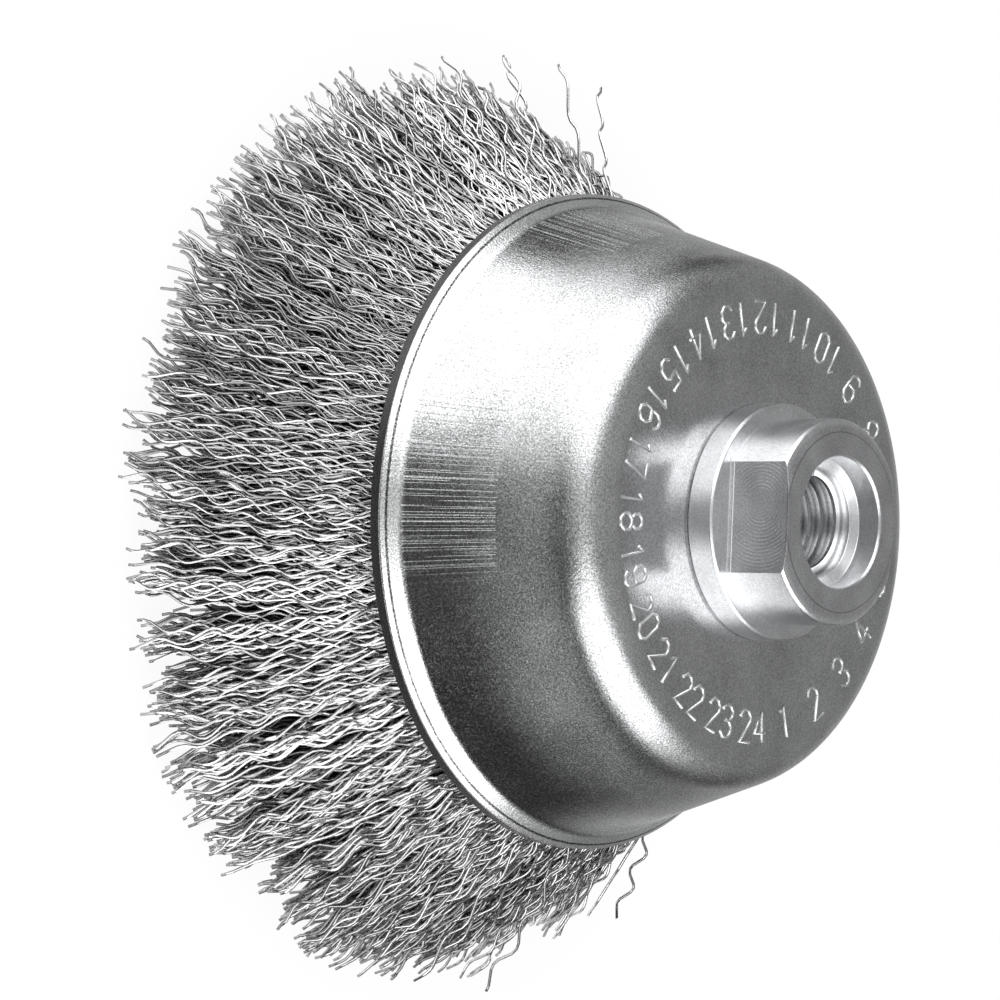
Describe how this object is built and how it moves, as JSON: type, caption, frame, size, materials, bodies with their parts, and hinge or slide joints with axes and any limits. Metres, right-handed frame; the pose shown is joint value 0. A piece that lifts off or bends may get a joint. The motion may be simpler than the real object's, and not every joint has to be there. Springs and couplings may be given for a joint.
{
  "type": "wire cup brush",
  "caption": "Crimped-wire cup brush: pressed steel cup with a flared ring of crimped wire and a turned drive nut with a coarse internal thread.",
  "frame": {"origin": "on the spindle axis, at the plane of the wire tips that it stands on", "axes": "+Z along the spindle axis, from the wire face towards the drive nut; the nut's two wrench flats face -Y and +Y"},
  "size_m": [0.118, 0.118, 0.067],
  "materials": {
    "plated_cup": "satin zinc plate",
    "turned_nut": "turned, zinc plated",
    "inner_sheet": "zinc plate",
    "ring_wire": "plain drawn wire",
    "crimped_wire": "bright stainless wire"
  },
  "bodies": {
    "root": {"cup": "plated_cup", "spindle_nut": "turned_nut", "inner_plate": "inner_sheet", "holding_ring": "ring_wire", "wire_bundle_01": "crimped_wire", "wire_bundle_02": "crimped_wire", "wire_bundle_03": "crimped_wire", "wire_bundle_04": "crimped_wire", "wire_bundle_05": "crimped_wire", "wire_bundle_06": "crimped_wire", "wire_bundle_07": "crimped_wire", "wire_bundle_08": "crimped_wire", "wire_bundle_09": "crimped_wire", "wire_bundle_10": "crimped_wire", "wire_bundle_11": "crimped_wire", "wire_bundle_12": "crimped_wire", "wire_bundle_13": "crimped_wire", "wire_bundle_14": "crimped_wire", "wire_bundle_15": "crimped_wire", "wire_bundle_16": "crimped_wire", "wire_bundle_17": "crimped_wire", "wire_bundle_18": "crimped_wire", "wire_bundle_19": "crimped_wire", "wire_bundle_20": "crimped_wire", "wire_bundle_21": "crimped_wire", "wire_bundle_22": "crimped_wire", "wire_bundle_23": "crimped_wire", "wire_bundle_24": "crimped_wire", "wire_bundle_25": "crimped_wire", "wire_bundle_26": "crimped_wire", "wire_bundle_27": "crimped_wire", "wire_bundle_28": "crimped_wire", "wire_bundle_29": "crimped_wire", "wire_bundle_30": "crimped_wire", "wire_bundle_31": "crimped_wire", "wire_bundle_32": "crimped_wire", "wire_bundle_33": "crimped_wire", "wire_bundle_34": "crimped_wire", "wire_bundle_35": "crimped_wire", "wire_bundle_36": "crimped_wire", "wire_bundle_37": "crimped_wire", "wire_bundle_38": "crimped_wire", "wire_bundle_39": "crimped_wire", "wire_bundle_40": "crimped_wire", "wire_bundle_41": "crimped_wire", "wire_bundle_42": "crimped_wire", "wire_bundle_43": "crimped_wire", "wire_bundle_44": "crimped_wire", "wire_bundle_45": "crimped_wire", "wire_bundle_46": "crimped_wire", "wire_bundle_47": "crimped_wire", "wire_bundle_48": "crimped_wire"}
  },
  "joints": []
}
